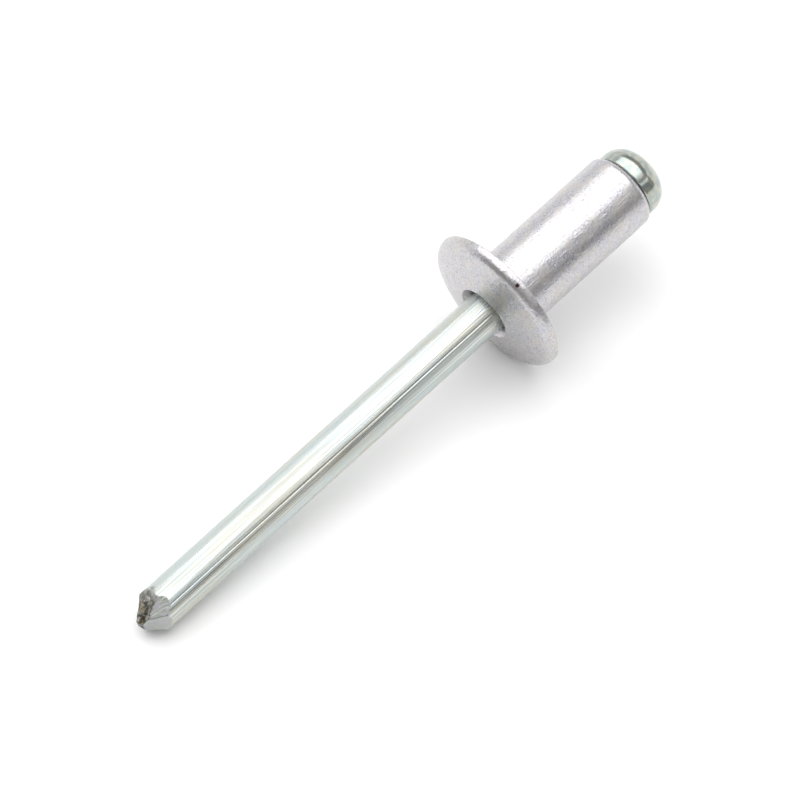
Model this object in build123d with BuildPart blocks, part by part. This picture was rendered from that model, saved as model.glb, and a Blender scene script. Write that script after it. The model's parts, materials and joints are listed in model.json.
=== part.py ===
from build123d import *
import os
from math import asin, atan2, cos, degrees, hypot, isclose, radians, sin, sqrt, tan

# Unset dome-head blind rivet, in millimetres, lying as it comes to rest: on the rim of its
# flange and on the wire of its mandrel, where the point begins.
# "Along" is measured on the rivet's axis from the seat, the flange's underside, and grows
# towards the blind end. "Out" is the distance from that axis.

# Rivet body: one cold-headed aluminium tube with a flange.
body_diameter = 4.8
body_length = 10.36
body_end_radius = 0.45
flange_diameter = 9.4
flange_height = 1.47
flange_rim_height = 0.07
flange_shoulder_radius = 0.74
flange_edge_radius = 0.05
flange_root_radius = 0.2
entry_flare = 0.39
entry_depth = 0.5
entry_lip_radius = 0.08

# Mandrel: one steel wire with a domed head, a break neck and a pinched point.
# The head is a step smaller than the body, so that it passes through the same hole.
stem_diameter = 2.57
stem_clearance = 0.08
stem_reach = 28.85
neck_depth = 0.33
neck_width = 0.5
neck_setback = 0.9
head_step = 0.21
head_side_height = 0.5
head_shoulder_radius = 1.3
head_crown_radius = 3.2
head_rim_radius = 0.12

# Point: four flats pinched round the wire, and a shallow one over the ridge between two.
# Each offset is how far from the axis a flat lies at the tip.
mandrel_roll = 25.0
point_taper = 34.0
point_spread = 50.0
left_flat_offset = 0.19
right_flat_offset = 0.39
far_flat_offset = 0.27
ridge_flat_taper = 18.0
ridge_flat_offset = 0.67

body_radius = body_diameter / 2
flange_radius = flange_diameter / 2
stem_radius = stem_diameter / 2
bore_radius = stem_radius + stem_clearance
entry_radius = bore_radius + entry_flare
neck_radius = stem_radius - neck_depth
head_radius = body_radius - head_step

# Flange section: the shoulder arc is tangent to the straight rim and to a shallow dome,
# whose centre is on the axis and whose crown, across the entry, is at the flange's height.
shoulder_out = flange_radius - flange_shoulder_radius
shoulder_along = -flange_rim_height
dome_rise = flange_height - flange_rim_height - flange_shoulder_radius
dome_drop = flange_height + flange_rim_height - flange_shoulder_radius
dome_centre_along = (shoulder_out**2 / dome_rise - dome_drop) / 2
dome_radius = dome_centre_along + flange_height
entry_along = dome_centre_along - sqrt(dome_radius**2 - entry_radius**2)

# Head section: the shoulder arc is tangent to the short side wall and to the crown.
head_shoulder_out = head_radius - head_shoulder_radius
head_shoulder_along = body_length + head_side_height
crown_to_shoulder = head_crown_radius - head_shoulder_radius
crown_centre_along = head_shoulder_along - sqrt(crown_to_shoulder**2 - head_shoulder_out**2)
head_top_along = crown_centre_along + head_crown_radius

# Rest: the floor is tangent to the flange's shoulder arc and touches the wire where a far flat starts.
far_flat_to_floor = radians(point_spread - mandrel_roll)
floor_flat_length = (stem_radius * cos(far_flat_to_floor) - far_flat_offset) / tan(radians(point_taper))
contact_along = floor_flat_length - stem_reach
contact_run = shoulder_along - contact_along
contact_rise = shoulder_out - stem_radius
rest_tilt = atan2(contact_rise, contact_run) + asin(flange_shoulder_radius / hypot(contact_run, contact_rise))

# The whole rivet's box is centred on the origin and stands on Z = 0.
seat_height = stem_radius * cos(rest_tilt) - contact_along * sin(rest_tilt)
tail_end_x = -stem_reach * cos(rest_tilt) - far_flat_offset * sin(rest_tilt)
head_end_x = crown_centre_along * cos(rest_tilt) + head_crown_radius
seat_centre = Vector(-(tail_end_x + head_end_x) / 2, 0, seat_height)
towards_blind_end = Vector(cos(rest_tilt), 0, sin(rest_tilt))
upwards = Vector(-sin(rest_tilt), 0, cos(rest_tilt))
sideways = Vector(0, -1, 0)
tip_centre = seat_centre - towards_blind_end * stem_reach
rivet_axis = Axis(seat_centre, towards_blind_end)
section_plane = Plane(origin=seat_centre, x_dir=towards_blind_end, z_dir=sideways)


def arc_point(centre_along, centre_out, radius, angle):
    """Point on an arc of a section, its angle turning from the blind end to straight out."""
    return (centre_along + radius * cos(angle), centre_out + radius * sin(angle))


def rings(piece, radius):
    """The piece's circular edges of one radius, in order along the rivet's axis."""
    circles = piece.edges().filter_by(GeomType.CIRCLE)
    return circles.filter_by(lambda ring: isclose(ring.radius, radius, abs_tol=0.001)).sort_by(rivet_axis)


def point_flat(offset, taper, roll):
    """Plane of a flat on the point: its offset at the tip, its taper, and its roll from straight up."""
    outwards = upwards * cos(radians(roll)) + sideways * sin(radians(roll))
    facing = outwards * cos(radians(taper)) - towards_blind_end * sin(radians(taper))
    return Plane(origin=tip_centre + outwards * offset, z_dir=facing)


# Rivet body: a section turned about the axis, then its edges eased.
dome_end_angle = atan2(shoulder_out, shoulder_along - dome_centre_along)
entry_angle = atan2(entry_radius, entry_along - dome_centre_along)
rim_top = (shoulder_along, flange_radius)
shoulder_middle_angle = (radians(90) + dome_end_angle) / 2
shoulder_middle = arc_point(shoulder_along, shoulder_out, flange_shoulder_radius, shoulder_middle_angle)
shoulder_end = arc_point(shoulder_along, shoulder_out, flange_shoulder_radius, dome_end_angle)
dome_middle = arc_point(dome_centre_along, 0, dome_radius, (dome_end_angle + entry_angle) / 2)
entry_edge = (entry_along, entry_radius)

with BuildPart() as rivet_body:
    with BuildSketch(section_plane) as body_section:
        with BuildLine() as body_outline:
            Polyline((0, body_radius), (0, flange_radius), rim_top)
            ThreePointArc(rim_top, shoulder_middle, shoulder_end)
            ThreePointArc(shoulder_end, dome_middle, entry_edge)
            Polyline(
                entry_edge,
                (entry_along + entry_depth, bore_radius),
                (body_length, bore_radius),
                (body_length, body_radius),
                (0, body_radius),
            )
        make_face()
    revolve(axis=rivet_axis)
    fillet(rings(rivet_body, body_radius)[-1], body_end_radius)
    fillet(rings(rivet_body, body_radius)[0], flange_root_radius)
    fillet(rings(rivet_body, flange_radius)[-1], flange_edge_radius)
    fillet(rings(rivet_body, entry_radius)[0], entry_lip_radius)

# Mandrel: the head seats on the body's blind end, and the stem runs out through the bore.
crown_end_angle = atan2(head_shoulder_out, head_shoulder_along - crown_centre_along)
head_side_top = (head_shoulder_along, head_radius)
head_middle_angle = (radians(90) + crown_end_angle) / 2
head_shoulder_middle = arc_point(head_shoulder_along, head_shoulder_out, head_shoulder_radius, head_middle_angle)
head_shoulder_end = arc_point(head_shoulder_along, head_shoulder_out, head_shoulder_radius, crown_end_angle)
crown_middle = arc_point(crown_centre_along, 0, head_crown_radius, crown_end_angle / 2)
neck_along = body_length - neck_setback

with BuildPart() as mandrel:
    with BuildSketch(section_plane) as mandrel_section:
        with BuildLine() as mandrel_outline:
            Polyline(
                (-stem_reach, 0),
                (-stem_reach, stem_radius),
                (neck_along - neck_width / 2, stem_radius),
                (neck_along, neck_radius),
                (neck_along + neck_width / 2, stem_radius),
                (body_length, stem_radius),
                (body_length, head_radius),
                head_side_top,
            )
            ThreePointArc(head_side_top, head_shoulder_middle, head_shoulder_end)
            ThreePointArc(head_shoulder_end, crown_middle, (head_top_along, 0))
            Line((head_top_along, 0), (-stem_reach, 0))
        make_face()
    revolve(axis=rivet_axis)
    fillet(rings(mandrel, head_radius)[0], head_rim_radius)
    split(bisect_by=point_flat(left_flat_offset, point_taper, mandrel_roll - point_spread), keep=Keep.BOTTOM)
    split(bisect_by=point_flat(right_flat_offset, point_taper, mandrel_roll + point_spread), keep=Keep.BOTTOM)
    for spread in (-point_spread, point_spread):
        split(bisect_by=point_flat(far_flat_offset, point_taper, mandrel_roll + 180 + spread), keep=Keep.BOTTOM)
    split(bisect_by=point_flat(ridge_flat_offset, ridge_flat_taper, mandrel_roll), keep=Keep.BOTTOM)

os.makedirs("parts", exist_ok=True)
rivet_body.part.label = "rivet_body"
export_step(rivet_body.part, "parts/rivet_body.step")
mandrel.part.label = "mandrel"
export_step(mandrel.part, "parts/mandrel.step")

print("rest tilt", round(degrees(rest_tilt), 3), "degrees, seat centre", seat_centre)
for piece in (rivet_body.part, mandrel.part):
    box = piece.bounding_box()
    print(piece.label, round(piece.volume, 3), "mm3", box.min, box.max, len(piece.solids()), "solid")
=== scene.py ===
# %% [markdown]
# # An unset blind rivet
# A blind rivet is two pieces of metal: a soft aluminium tube with a flange, and the steel
# wire, called the mandrel, that runs through it. A rivet tool grips the wire and pulls until
# its head has swollen the tube behind the sheets, and then the wire snaps at a hidden neck.
# This one hasn't been used, so the whole wire still stands out of the flange.
#
# Both pieces are turned shapes, so this lesson spins two outlines and then spends its effort
# on what a plain turned shape lacks: the pinched point of the wire, the tumbled skin of the
# aluminium, and the drawn and plated skin of the steel.

# %% Load the frame
import json
import math

import bmesh
import bpy
from mathutils import Matrix, Vector, noise


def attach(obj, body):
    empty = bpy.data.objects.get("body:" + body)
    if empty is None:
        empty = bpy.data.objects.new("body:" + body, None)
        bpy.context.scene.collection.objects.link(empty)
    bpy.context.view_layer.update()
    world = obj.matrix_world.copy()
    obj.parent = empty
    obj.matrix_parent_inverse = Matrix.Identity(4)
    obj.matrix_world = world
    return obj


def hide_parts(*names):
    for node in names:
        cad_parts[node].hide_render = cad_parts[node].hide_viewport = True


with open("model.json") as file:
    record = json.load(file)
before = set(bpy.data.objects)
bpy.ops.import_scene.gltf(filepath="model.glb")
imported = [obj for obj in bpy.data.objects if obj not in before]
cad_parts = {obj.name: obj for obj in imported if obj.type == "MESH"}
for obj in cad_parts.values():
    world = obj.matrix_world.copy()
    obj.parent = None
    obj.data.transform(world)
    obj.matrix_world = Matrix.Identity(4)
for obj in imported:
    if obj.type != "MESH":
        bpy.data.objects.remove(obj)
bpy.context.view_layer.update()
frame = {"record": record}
MM = 0.001

# %% [markdown]
# ## Where the rivet lies
# It lies on the rim of its flange and on the end of its wire, so its axis climbs a few
# degrees towards the blind end. The record's mounts hold that axis: the seat is the flat
# underside of the flange, and the shank's axis points at the blind end. Everything below is
# drawn along and out from that axis, in millimetres, and put in place once at the end.

# %% The rivet's own axis
mounts = {mount["name"]: mount for mount in frame["record"]["mounts"]}
blind_way = Vector(mounts["shank"]["axis"]).normalized()
shank_point = Vector(mounts["shank"]["pos_m"])
seat_point = Vector(mounts["seat"]["pos_m"])
seat_centre = shank_point + blind_way * (seat_point - shank_point).dot(blind_way)
rest_tilt = math.asin(blind_way.z)
to_place = Matrix.Translation(seat_centre) @ Matrix.Rotation(-rest_tilt, 4, "Y") @ Matrix.Scale(MM, 4)
print("tilt in degrees:", round(math.degrees(rest_tilt), 3))

# %% [markdown]
# ## Camera
# A long lens from well back keeps the wire's two edges almost parallel, as a product
# photographer would. The camera looks down over the wire's point, which is nearest to it.

# %% Camera
CAMERA_AZIMUTH = -44.785
CAMERA_ELEVATION = 53.856
CAMERA_DISTANCE_MM = 239.6
CAMERA_LENS_MM = 188.71
AIM_MM = Vector((-0.674, -0.691, 3.965))

azimuth, elevation = math.radians(CAMERA_AZIMUTH), math.radians(CAMERA_ELEVATION)
backward = Vector((
    math.sin(azimuth) * math.cos(elevation),
    -math.cos(azimuth) * math.cos(elevation),
    math.sin(elevation),
))
camera = bpy.data.objects.new("camera", bpy.data.cameras.new("camera"))
bpy.context.scene.collection.objects.link(camera)
camera.data.lens = CAMERA_LENS_MM
camera.data.clip_start, camera.data.clip_end = 0.01, 10
camera.location = (AIM_MM + backward * CAMERA_DISTANCE_MM) * MM
camera.rotation_euler = (-backward).to_track_quat("-Z", "Y").to_euler()
bpy.context.scene.camera = camera

# %% [markdown]
# ## Studio
# Polished metal shows the room more than itself, so the room is built with care. One wide
# soft box hangs overhead and leans to the far side: it gives the long white highlight and
# drops a soft shadow on the near side. A dimmer panel stands far behind. The near side of
# the room is left fairly dark, which draws the dark stripe along the metal, and one narrow
# lamp there draws the thin bright line inside that stripe.

# %% Lamps
ROOM_GREY = 0.34


def lamp(name, place_mm, aim_mm, width_mm, height_mm, radiance):
    """A rectangular soft lamp, its strength given as the brightness of its face."""
    data = bpy.data.lights.new(name, "AREA")
    data.shape = "RECTANGLE"
    data.size, data.size_y = width_mm * MM, height_mm * MM
    data.energy = radiance * math.pi * data.size * data.size_y
    lamp_object = bpy.data.objects.new(name, data)
    bpy.context.scene.collection.objects.link(lamp_object)
    lamp_object.location = Vector(place_mm) * MM
    facing = Vector(aim_mm) - Vector(place_mm)
    lamp_object.rotation_euler = facing.to_track_quat("-Z", "Y").to_euler()
    return lamp_object


lamp("soft_box", (0, 165, 500), (0, 165, 0), 700, 890, 1.95)
lamp("soft_box_spill", (0, -380, 560), (0, 0, 0), 700, 110, 0.8)
lamp("near_strip", (0, -640, 460), (0, 0, 0), 1200, 65, 1.7)
lamp("far_panel", (0, 900, 300), (0, 0, 300), 2400, 600, 0.66)
lamp("blind_end_panel", (900, 0, 300), (0, 0, 300), 1400, 600, 0.75)

world = bpy.data.worlds.new("room")
bpy.context.scene.world = world
world.use_nodes = True
world.node_tree.nodes["Background"].inputs["Color"].default_value = (ROOM_GREY, ROOM_GREY, ROOM_GREY, 1)
bpy.context.scene.view_settings.view_transform = "Standard"


# %% [markdown]
# ## Nodes and colours
# Two helpers serve every material: one adds a node with its settings and links, the other
# turns a written sRGB colour into the linear numbers that the shaders expect.

# %% Helpers for materials
def linear(code):
    """Linear RGBA of an sRGB hex colour such as C8CCD0."""
    channels = [int(code[i:i + 2], 16) / 255 for i in (0, 2, 4)]
    return tuple(c / 12.92 if c <= 0.04045 else ((c + 0.055) / 1.055) ** 2.4 for c in channels) + (1.0,)


def add(tree, kind, inputs=None, **settings):
    """Adds a node, sets its own settings, and fills or links its inputs by name or number."""
    node = tree.nodes.new(kind)
    for name, value in settings.items():
        setattr(node, name, value)
    for key, value in (inputs or {}).items():
        socket = node.inputs[key]
        if isinstance(value, bpy.types.NodeSocket):
            tree.links.new(value, socket)
        else:
            socket.default_value = value
    return node


def new_material(name):
    """An empty node material and its tree, with the output ready."""
    material = bpy.data.materials.new(name)
    material.use_nodes = True
    material.node_tree.nodes.clear()
    return material, material.node_tree


# %% [markdown]
# ## Floor
# A sheet of matt white card, large enough to fill every view.

# %% Floor
FLOOR_SIZE = 4.0
card, tree = new_material("white_card")
card_shader = add(tree, "ShaderNodeBsdfPrincipled", {"Base Color": linear("FCFCFC"), "Roughness": 0.9})
card_shader.inputs["Specular IOR Level"].default_value = 0.0
add(tree, "ShaderNodeOutputMaterial", {"Surface": card_shader.outputs[0]})

floor_mesh = bpy.data.meshes.new("floor")
bm = bmesh.new()
bmesh.ops.create_grid(bm, x_segments=1, y_segments=1, size=FLOOR_SIZE / 2)
bm.to_mesh(floor_mesh)
bm.free()
floor_mesh.materials.append(card)
floor = bpy.data.objects.new("floor", floor_mesh)
bpy.context.scene.collection.objects.link(floor)

# %% [markdown]
# ## Camera front
# The dark front of the camera is itself mirrored by any metal that faces it squarely, such
# as the small flat on the wire's point. A dark disc behind the camera stands in for it.

# %% Camera front
HOOD_RADIUS = 0.050
HOOD_DISTANCE = 0.30
matt_black, tree = new_material("matt_black_camera_front")
hood_shader = add(tree, "ShaderNodeBsdfPrincipled", {"Base Color": linear("686868"), "Roughness": 0.8})
add(tree, "ShaderNodeOutputMaterial", {"Surface": hood_shader.outputs[0]})
hood_mesh = bpy.data.meshes.new("camera_front")
bm = bmesh.new()
bmesh.ops.create_circle(bm, cap_ends=True, segments=48, radius=HOOD_RADIUS)
bm.to_mesh(hood_mesh)
bm.free()
hood_mesh.materials.append(matt_black)
hood = bpy.data.objects.new("camera_front", hood_mesh)
bpy.context.scene.collection.objects.link(hood)
hood.location = backward * HOOD_DISTANCE
hood.rotation_euler = (-backward).to_track_quat("-Z", "Y").to_euler()


# %% [markdown]
# ## Outlines
# Both outlines are straight runs joined by arcs. One function walks an arc, one rounds a
# corner, and one adds points along the long runs, so that the spun skin is fine enough
# everywhere to take dents.

# %% Helpers for outlines
def arc(centre, radius, start, end, steps):
    """Points along an arc of the outline, from one angle to another."""
    angles = [start + (end - start) * i / steps for i in range(steps + 1)]
    return [centre + radius * Vector((math.cos(a), math.sin(a))) for a in angles]


def rounded(before, corner, after, radius, steps=8):
    """A corner of the outline as an arc that is tangent to the runs before and after it."""
    to_before, to_after = (before - corner).normalized(), (after - corner).normalized()
    half = to_before.angle(to_after) / 2
    centre = corner + (to_before + to_after).normalized() * radius / math.sin(half)
    first = corner + to_before * radius / math.tan(half) - centre
    last = corner + to_after * radius / math.tan(half) - centre
    turn = first.angle_signed(last)
    start = math.atan2(first.y, first.x)
    return arc(centre, radius, start, start - turn, steps)


def refined(points, longest):
    """The same outline with points added, so that no run is longer than the given length."""
    result = [points[0]]
    for a, b in zip(points, points[1:]):
        pieces = max(1, math.ceil((b - a).length / longest))
        result += [a.lerp(b, i / pieces) for i in range(1, pieces + 1)]
    return result


def spun(outline, steps, closed):
    """A bmesh of the outline turned once round the X axis."""
    bm = bmesh.new()
    verts = [bm.verts.new((p.x, 0, p.y)) for p in outline]
    pairs = list(zip(verts, verts[1:]))
    if closed:
        pairs.append((verts[-1], verts[0]))
    edges = [bm.edges.new(pair) for pair in pairs]
    bmesh.ops.spin(bm, geom=verts + edges, axis=(1, 0, 0), cent=(0, 0, 0),
                   angle=2 * math.pi, steps=steps, use_merge=True)
    bmesh.ops.remove_doubles(bm, verts=bm.verts, dist=1e-5)
    bmesh.ops.recalc_face_normals(bm, faces=bm.faces)
    return bm


def piece_from(bm, name, material, replaced):
    """Puts a finished bmesh in place as a piece that stands for its CAD node."""
    bmesh.ops.transform(bm, matrix=to_place, verts=bm.verts)
    mesh = bpy.data.meshes.new(name)
    bm.to_mesh(mesh)
    bm.free()
    mesh.shade_smooth()
    mesh.materials.append(material)
    piece = bpy.data.objects.new(name, mesh)
    bpy.context.scene.collection.objects.link(piece)
    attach(piece, "root")
    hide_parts(replaced)
    print(name, "has", len(mesh.polygons), "faces")
    return piece


# %% [markdown]
# ## Rivet body
# The real body starts as a slug of soft aluminium that is punched into a tube, and its
# flange is headed cold in a die. The die leaves a shallow dome, a rounded shoulder and a
# short straight rim. Where the wire comes out, the bore flares open.

# %% Sizes of the body, in millimetres
BODY_RADIUS = mounts["shank"]["dims"]["r_mm"]
BODY_LENGTH = 10.36
BODY_END_RADIUS = 0.45
FLANGE_RADIUS = 4.7
FLANGE_HEIGHT = 1.47
RIM_HEIGHT = 0.07
SHOULDER_RADIUS = 0.74
FLANGE_EDGE_RADIUS = 0.05
FLANGE_ROOT_RADIUS = 0.2
STEM_RADIUS = mounts["mandrel_stem"]["dims"]["r_mm"]
BORE_RADIUS = STEM_RADIUS + 0.08
ENTRY_RADIUS = BORE_RADIUS + 0.39
ENTRY_DEPTH = 0.5
ENTRY_LIP_RADIUS = 0.08
TURN_STEPS = 320

shoulder_centre = Vector((-RIM_HEIGHT, FLANGE_RADIUS - SHOULDER_RADIUS))
dome_rise = FLANGE_HEIGHT - RIM_HEIGHT - SHOULDER_RADIUS
dome_drop = FLANGE_HEIGHT + RIM_HEIGHT - SHOULDER_RADIUS
dome_centre = Vector(((shoulder_centre.y ** 2 / dome_rise - dome_drop) / 2, 0))
dome_radius = dome_centre.x + FLANGE_HEIGHT
entry_edge = Vector((dome_centre.x - math.sqrt(dome_radius ** 2 - ENTRY_RADIUS ** 2), ENTRY_RADIUS))
print("the flange's dome has a radius of", round(dome_radius, 2), "mm")

# %% Outline of the body
to_shoulder = shoulder_centre - dome_centre
dome_end = math.atan2(to_shoulder.y, to_shoulder.x)
dome_start = math.atan2(ENTRY_RADIUS + ENTRY_LIP_RADIUS, entry_edge.x - dome_centre.x)
flare_end = Vector((entry_edge.x + ENTRY_DEPTH, BORE_RADIUS))
bore_end = Vector((BODY_LENGTH, BORE_RADIUS))
body_end = Vector((BODY_LENGTH, BODY_RADIUS))
flange_foot = Vector((0, BODY_RADIUS))
flange_edge = Vector((0, FLANGE_RADIUS))
rim_top = shoulder_centre + Vector((0, SHOULDER_RADIUS))

flange_face = rounded(flare_end, entry_edge, arc(dome_centre, dome_radius, dome_start, dome_end, 1)[0],
                      ENTRY_LIP_RADIUS)
flange_face += arc(dome_centre, dome_radius, dome_start, dome_end, 40)
flange_face += arc(shoulder_centre, SHOULDER_RADIUS, dome_end, math.radians(90), 20)[1:]
flange_face += rounded(rim_top, flange_edge, flange_foot, FLANGE_EDGE_RADIUS, 4)
shank = rounded(flange_edge, flange_foot, body_end, FLANGE_ROOT_RADIUS)
shank += rounded(flange_foot, body_end, bore_end, BODY_END_RADIUS, 14)
body_outline = [bore_end, flare_end] + refined(flange_face + shank, 0.12)
print("the body's outline has", len(body_outline), "points")

# %% [markdown]
# ### Tumbled aluminium
# Loose parts are tumbled together after heading, so the soft skin is covered in fine pits
# and shallow knocks, and it went into the tumbler with lengthwise marks from the punch.
# The pits blur the room into soft bands. On the flange the knocks are deeper, so the face
# mirrors only what stands very close to it.


# %% The rivet's own coordinates in a material
def rivet_coordinates(tree, stretch=(1, 1, 1)):
    """Object coordinates turned so that X runs along the rivet's axis from the seat."""
    object_coords = add(tree, "ShaderNodeTexCoord").outputs["Object"]
    turned = add(tree, "ShaderNodeMapping", {"Vector": object_coords, "Location": seat_centre,
                                             "Rotation": (0, -rest_tilt, 0)}, vector_type="TEXTURE")
    return add(tree, "ShaderNodeMapping", {"Vector": turned.outputs[0], "Scale": stretch}).outputs[0]


def grain(tree, size_mm, stretch=(1, 1, 1), detail=2.0, roughness=0.5):
    """A noise whose lumps are about the given size, from 0 to 1."""
    return add(tree, "ShaderNodeTexNoise", {
        "Vector": rivet_coordinates(tree, stretch), "Scale": 1 / (size_mm * MM),
        "Detail": detail, "Roughness": roughness}).outputs[0]


def spread(tree, value, low, high, to_low=0.0, to_high=1.0):
    """Rescales a value from one range to another, clamped at both ends."""
    return add(tree, "ShaderNodeMapRange", {"Value": value, "From Min": low, "From Max": high,
                                            "To Min": to_low, "To Max": to_high}).outputs[0]


def colours(tree, factor, first, second):
    """Mixes two hex colours, or sockets, by a factor."""
    mix = add(tree, "ShaderNodeMix", {"Factor": factor}, data_type="RGBA")
    for socket, colour in ((mix.inputs[6], first), (mix.inputs[7], second)):
        if isinstance(colour, str):
            socket.default_value = linear(colour)
        else:
            tree.links.new(colour, socket)
    return mix.outputs[2]


def bumped(tree, height, depth_mm, normal=None):
    """Bends the surface normal by a height map whose full range is the given depth."""
    inputs = {"Height": height, "Distance": depth_mm * MM, "Strength": 1.0}
    if normal is not None:
        inputs["Normal"] = normal
    return add(tree, "ShaderNodeBump", inputs).outputs[0]


def vertex_value(tree, name):
    """A number that the mesh carries on its own vertices."""
    return add(tree, "ShaderNodeAttribute", attribute_name=name).outputs["Fac"]


# %% Material: tumbled aluminium
aluminium, tree = new_material("tumbled_aluminium")
on_flange = vertex_value(tree, "flange")
pit_darkening = vertex_value(tree, "pit_darkening")
pits = grain(tree, 0.13, detail=3.0, roughness=0.6)
specks = grain(tree, 0.10, detail=2.0)
mottle = grain(tree, 0.70, detail=3.0, roughness=0.6)
knocks = grain(tree, 0.42, detail=1.0)
drawn = grain(tree, 0.09, stretch=(0.04, 1, 1), detail=2.0)
scratches = spread(tree, grain(tree, 0.16, stretch=(0.12, 1, 1), detail=0.0), 0.70, 0.78)

skin = bumped(tree, pits, 0.020)
skin = bumped(tree, drawn, 0.003, skin)
skin = bumped(tree, scratches, 0.007, skin)
face_knocks = add(tree, "ShaderNodeMath", {0: knocks, 1: on_flange}, operation="MULTIPLY").outputs[0]
skin = bumped(tree, face_knocks, 0.024, skin)

tint = colours(tree, spread(tree, mottle, 0.40, 0.60), "C0C0C6", "CAC6C4")
tint = colours(tree, spread(tree, pits, 0.50, 0.72, 0.0, 0.60), tint, "8C8788")
tint = colours(tree, spread(tree, specks, 0.52, 0.70, 0.0, 0.55), tint, "E2E0E2")
# The pit's colour is painted dark brown, darkest at its middle.
tint = colours(tree, pit_darkening, tint, "4A2E24")
gloss = spread(tree, mottle, 0.35, 0.65, 0.265, 0.30)
metal = add(tree, "ShaderNodeBsdfPrincipled",
            {"Base Color": tint, "Metallic": 1.0, "Roughness": gloss, "Normal": skin})
add(tree, "ShaderNodeOutputMaterial", {"Surface": metal.outputs[0]})

# %% [markdown]
# ### Knocks and the pit on the rim
# Small knocks are pushed inwards from the turned skin, deepest on the flange. One pit is pressed
# into the shoulder, and its colour is painted dark brown; the mesh is split finely round it first.


# %% Helpers for dents
def dent(bm, depth_at):
    """Pushes every vertex in along its normal, by the depth in mm that a function gives."""
    bm.normal_update()
    depths = [(vert, vert.normal.copy(), depth_at(vert.co)) for vert in bm.verts]
    for vert, normal, depth in depths:
        vert.co -= normal * depth


def rough(point, size_mm, seed):
    """Smooth random value from 0 to 1 at a point, with lumps of about the given size."""
    return 0.5 + 0.5 * noise.noise(point / size_mm + Vector((seed, 0, 0)))


def at_roll(along, out, roll_degrees):
    """A point beside the axis: roll 0 is straight up and 90 is towards -Y."""
    roll = math.radians(roll_degrees)
    return Vector((along, -out * math.sin(roll), out * math.cos(roll)))


# %% The body itself
PIT_RADIUS = 0.17
PIT_DEPTH = 0.020
pit = at_roll(-0.40, 4.65, 27.6)


def body_dent(point):
    """Depth of the knocks on the body, in mm."""
    on_head = 1.0 if point.x < 0.0 else 0.25
    if point.x > -0.01 and math.hypot(point.y, point.z) > BODY_RADIUS + 0.3:
        on_head = 0.0
    knock = 0.018 * max(0.0, rough(point, 0.9, 3) - 0.45)
    return on_head * knock + PIT_DEPTH * max(0.0, 1 - ((point - pit).length / PIT_RADIUS) ** 2)


body_bm = spun(body_outline, TURN_STEPS, closed=True)
near_pit = [edge for edge in body_bm.edges
            if min((vert.co - pit).length for vert in edge.verts) < 2.2 * PIT_RADIUS]
bmesh.ops.subdivide_edges(body_bm, edges=near_pit, cuts=3, use_grid_fill=True)
dent(body_bm, body_dent)
flange_layer = body_bm.verts.layers.float.new("flange")
pit_darkening_layer = body_bm.verts.layers.float.new("pit_darkening")
for vert in body_bm.verts:
    vert[flange_layer] = 1.0 if vert.co.x < 0.05 else 0.15
    # How strongly the pit's colour is painted dark brown: fully near its middle, fading out at its edge.
    vert[pit_darkening_layer] = max(0.0, min(1.0, 2.2 - 2.2 * (vert.co - pit).length / PIT_RADIUS))
rivet_body = piece_from(body_bm, "turned_rivet_body", aluminium, "rivet_body")

# %% [markdown]
# ## Mandrel
# The wire is drawn, cut and headed in one machine. Its head seats on the blind end of the
# body, and the far end is pinched off between jaws, which leaves a blunt four-sided point.

# %% Sizes of the mandrel, in millimetres
STEM_REACH = 28.85
NECK_DEPTH = 0.33
NECK_WIDTH = 0.5
NECK_SETBACK = 0.9
HEAD_RADIUS = 2.19
HEAD_SIDE_HEIGHT = 0.5
HEAD_SHOULDER_RADIUS = 1.3
HEAD_CROWN_RADIUS = 3.2
HEAD_RIM_RADIUS = 0.12

head_centre = Vector((BODY_LENGTH + HEAD_SIDE_HEIGHT, HEAD_RADIUS - HEAD_SHOULDER_RADIUS))
crown_reach = HEAD_CROWN_RADIUS - HEAD_SHOULDER_RADIUS
crown_centre = Vector((head_centre.x - math.sqrt(crown_reach ** 2 - head_centre.y ** 2), 0))
to_head = head_centre - crown_centre
crown_end = math.atan2(to_head.y, to_head.x)
neck = BODY_LENGTH - NECK_SETBACK

# %% Outline of the mandrel
POINT_ZONE = 2.4
tip = Vector((-STEM_REACH, 0))
tip_edge = Vector((-STEM_REACH, STEM_RADIUS))
point_start = Vector((POINT_ZONE - STEM_REACH, STEM_RADIUS))
head_foot = Vector((BODY_LENGTH, STEM_RADIUS))
head_edge = Vector((BODY_LENGTH, HEAD_RADIUS))

mandrel_outline = refined([tip, tip_edge, point_start], 0.04)
mandrel_outline += refined([point_start, Vector((neck - NECK_WIDTH / 2, STEM_RADIUS))], 0.5)[1:]
mandrel_outline += [Vector((neck, STEM_RADIUS - NECK_DEPTH)), Vector((neck + NECK_WIDTH / 2, STEM_RADIUS))]
mandrel_outline.append(head_foot)
mandrel_outline += rounded(head_foot, head_edge, head_centre + Vector((0, HEAD_SHOULDER_RADIUS)), HEAD_RIM_RADIUS)
head_arcs = arc(head_centre, HEAD_SHOULDER_RADIUS, math.radians(90), crown_end, 24)
head_arcs += arc(crown_centre, HEAD_CROWN_RADIUS, crown_end, 0, 24)[1:]
mandrel_outline += refined([mandrel_outline[-1]] + head_arcs, 0.1)[1:]
print("the mandrel's outline has", len(mandrel_outline), "points")

# %% [markdown]
# ### Pinched point
# Pressing a flat into round wire moves its skin straight in towards the axis. So each point
# of the skin is kept no further out than the nearest flat allows, which gives the flats and
# the ridges between them on a mesh that stays even enough for the torn metal to be rough.

# %% The point's flats
MANDREL_ROLL = 25.0
FLATS = {
    "left": (0.19, 34.0, MANDREL_ROLL - 50),
    "right": (0.39, 34.0, MANDREL_ROLL + 50),
    "far_left": (0.27, 34.0, MANDREL_ROLL + 130),
    "far_right": (0.27, 34.0, MANDREL_ROLL + 230),
    "ridge": (0.67, 18.0, MANDREL_ROLL),
}


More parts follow.
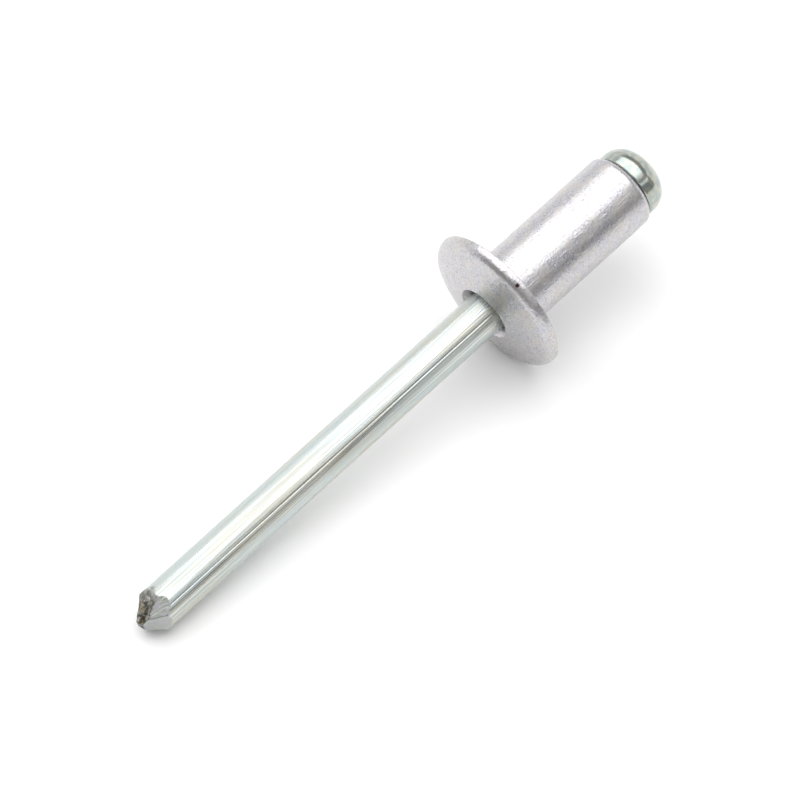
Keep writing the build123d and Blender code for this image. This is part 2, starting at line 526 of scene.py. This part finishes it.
def flat_limit(flat, from_tip, roll):
    """How far out a flat lets the skin be, at a distance from the tip and a roll round the axis."""
    offset, taper, flat_roll = FLATS[flat]
    facing = math.cos(roll - math.radians(flat_roll))
    if facing < 0.05:
        return math.inf
    return (offset + from_tip * math.tan(math.radians(taper))) / facing


EDGE_WIDTH = 0.06
TORN = {"left": 1.0, "right": 0.15, "far_left": 0.3, "far_right": 0.3, "ridge": 0.0}


def tear(flat, point):
    """How much deeper than its flat the torn metal lies, in mm."""
    if flat == "left":
        lumps = abs(noise.noise(point / 0.45 + Vector((5, 2, 0)))) + 0.4 * abs(noise.noise(point / 0.15))
        return 0.32 * lumps
    if flat == "ridge":
        return 0.012 * rough(point, 0.25, 9)
    shear_line = 0.5 + 0.5 * math.sin((0.45 * point.x + point.z + 0.08 * rough(point, 0.4, 6)) / 0.036)
    return 0.018 * shear_line + 0.03 * rough(point, 0.35, 4)


def pinch(bm):
    """Presses the flats into the end of the wire and marks the torn metal."""
    torn_layer = bm.verts.layers.float.new("torn")
    cut_layer = bm.verts.layers.float.new("cut")
    burr_layer = bm.verts.layers.float.new("burr")
    drawn_layer = bm.verts.layers.float.new("drawn")
    for vert in bm.verts:
        vert[drawn_layer] = 1.0 if vert.co.x < BODY_LENGTH - 0.05 else 0.0
        from_tip = vert.co.x + STEM_REACH
        out = math.hypot(vert.co.y, vert.co.z)
        if from_tip > POINT_ZONE or out < 1e-6:
            continue
        roll = math.atan2(-vert.co.y, vert.co.z)
        on_skin = Vector((vert.co.x, vert.co.y * STEM_RADIUS / out, vert.co.z * STEM_RADIUS / out))
        limits = {flat: flat_limit(flat, from_tip, roll) - tear(flat, on_skin) for flat in FLATS}
        flat, next_flat = sorted(limits, key=limits.get)[:2]
        reach = min(limits[flat], STEM_RADIUS)
        if reach < STEM_RADIUS - 1e-4:
            smeared = max(0.0, min(1.0, (from_tip - 1.0) / 0.6))
            near_edge = max(0.0, 1 - (limits[next_flat] - limits[flat]) / EDGE_WIDTH)
            vert[torn_layer] = TORN[flat] * (1 - 0.75 * smeared)
            vert[burr_layer] = near_edge
            vert[cut_layer] = 1.0
        scale = reach / STEM_RADIUS if from_tip < 1e-6 else min(1.0, reach / out)
        vert.co.y *= scale
        vert.co.z *= scale


# %% [markdown]
# ### Score line
# A nick in the drawing die ploughs one shallow groove along the whole wire. Its two sides
# face different parts of the room, so it shows as a thin dark line beside a thin bright one.

# %% The score line
SCORE_ROLL = 41.0
SCORE_HALF_WIDTH = 3.4
SCORE_DEPTH = 0.024


def score(bm):
    """Ploughs the groove into the round of the wire, and marks it as burnished."""
    score_layer = bm.verts.layers.float.new("score")
    for vert in bm.verts:
        out = math.hypot(vert.co.y, vert.co.z)
        if vert.co.x > BODY_LENGTH - 1.5 or abs(out - STEM_RADIUS) > 1e-4:
            continue
        roll = math.degrees(math.atan2(-vert.co.y, vert.co.z))
        share = max(0.0, 1 - abs(roll - SCORE_ROLL) / SCORE_HALF_WIDTH)
        scale = 1 - share * SCORE_DEPTH / STEM_RADIUS
        vert.co.y *= scale
        vert.co.z *= scale
        vert[score_layer] = min(1.0, 3 * share)


# %% [markdown]
# ### Zinc-plated drawn wire
# Drawing the wire through a die leaves fine lines along it, and thin clear-passivated zinc
# over them keeps it bright with faint yellow and blue-green tints. The pinched flats were
# torn after drawing, so the zinc there sits on rough metal and looks darker and yellower.

# %% Material: zinc-plated drawn steel
zinc, tree = new_material("zinc_plated_drawn_steel")
torn = vertex_value(tree, "torn")
on_wire = vertex_value(tree, "drawn")
cut = vertex_value(tree, "cut")
burr = vertex_value(tree, "burr")
lines = grain(tree, 0.06, stretch=(0.006, 1, 1), detail=3.0, roughness=0.6)
ripple = grain(tree, 0.35, stretch=(0.12, 1, 1), detail=1.0)
specks = grain(tree, 0.10, detail=2.0)
tears = grain(tree, 0.26, detail=4.0, roughness=0.6)
shear = grain(tree, 0.12, stretch=(0.35, 1, 1), detail=2.0)

line_height = add(tree, "ShaderNodeMath", {0: lines, 1: on_wire}, operation="MULTIPLY").outputs[0]
skin = bumped(tree, line_height, 0.008)
skin = bumped(tree, ripple, 0.006, skin)
skin = bumped(tree, specks, 0.003, skin)
tear_height = add(tree, "ShaderNodeMath", {0: tears, 1: torn}, operation="MULTIPLY").outputs[0]
skin = bumped(tree, tear_height, 0.14, skin)
shear_height = add(tree, "ShaderNodeMath", {0: shear, 1: cut}, operation="MULTIPLY").outputs[0]
skin = bumped(tree, shear_height, 0.018, skin)

tint = colours(tree, spread(tree, grain(tree, 0.5, stretch=(0.05, 1, 1)), 0.40, 0.60), "C9D1CF", "CDCDC3")
tint = colours(tree, spread(tree, grain(tree, 0.8), 0.45, 0.7, 0.0, 0.4), tint, "C6CFD5")
head_tint = colours(tree, spread(tree, grain(tree, 0.4), 0.42, 0.60), "A6AFAC", "BEBFB3")
tint = colours(tree, on_wire, head_tint, tint)
cut_tint = colours(tree, spread(tree, grain(tree, 0.3), 0.4, 0.6), "B2B8AE", "B8B6BE")
torn_tint = colours(tree, spread(tree, tears, 0.42, 0.62), "55544F", "A8A59A")
torn_tint = colours(tree, spread(tree, grain(tree, 0.4, detail=1.0), 0.58, 0.68, 0.0, 0.3), torn_tint, "A98F50")
cut_tint = colours(tree, spread(tree, burr, 0.0, 1.0, 0.0, 0.7), colours(tree, torn, cut_tint, torn_tint), "50514E")
tint = colours(tree, cut, tint, cut_tint)
wire_gloss = spread(tree, lines, 0.41, 0.56, 0.15, 0.64)
wire_gloss = add(tree, "ShaderNodeMix", {"Factor": vertex_value(tree, "score"), "A": wire_gloss, "B": 0.15}).outputs[0]
gloss = add(tree, "ShaderNodeMix", {"Factor": on_wire, "A": 0.19, "B": wire_gloss}).outputs[0]
gloss = add(tree, "ShaderNodeMix", {"Factor": cut, "A": gloss, "B": 0.36}).outputs[0]
metal = add(tree, "ShaderNodeBsdfPrincipled",
            {"Base Color": tint, "Metallic": 1.0, "Roughness": gloss, "Normal": skin})
add(tree, "ShaderNodeOutputMaterial", {"Surface": metal.outputs[0]})

# %% The mandrel itself
mandrel_bm = spun(mandrel_outline, TURN_STEPS, closed=False)
pinch(mandrel_bm)
score(mandrel_bm)
mandrel = piece_from(mandrel_bm, "drawn_mandrel", zinc, "mandrel")
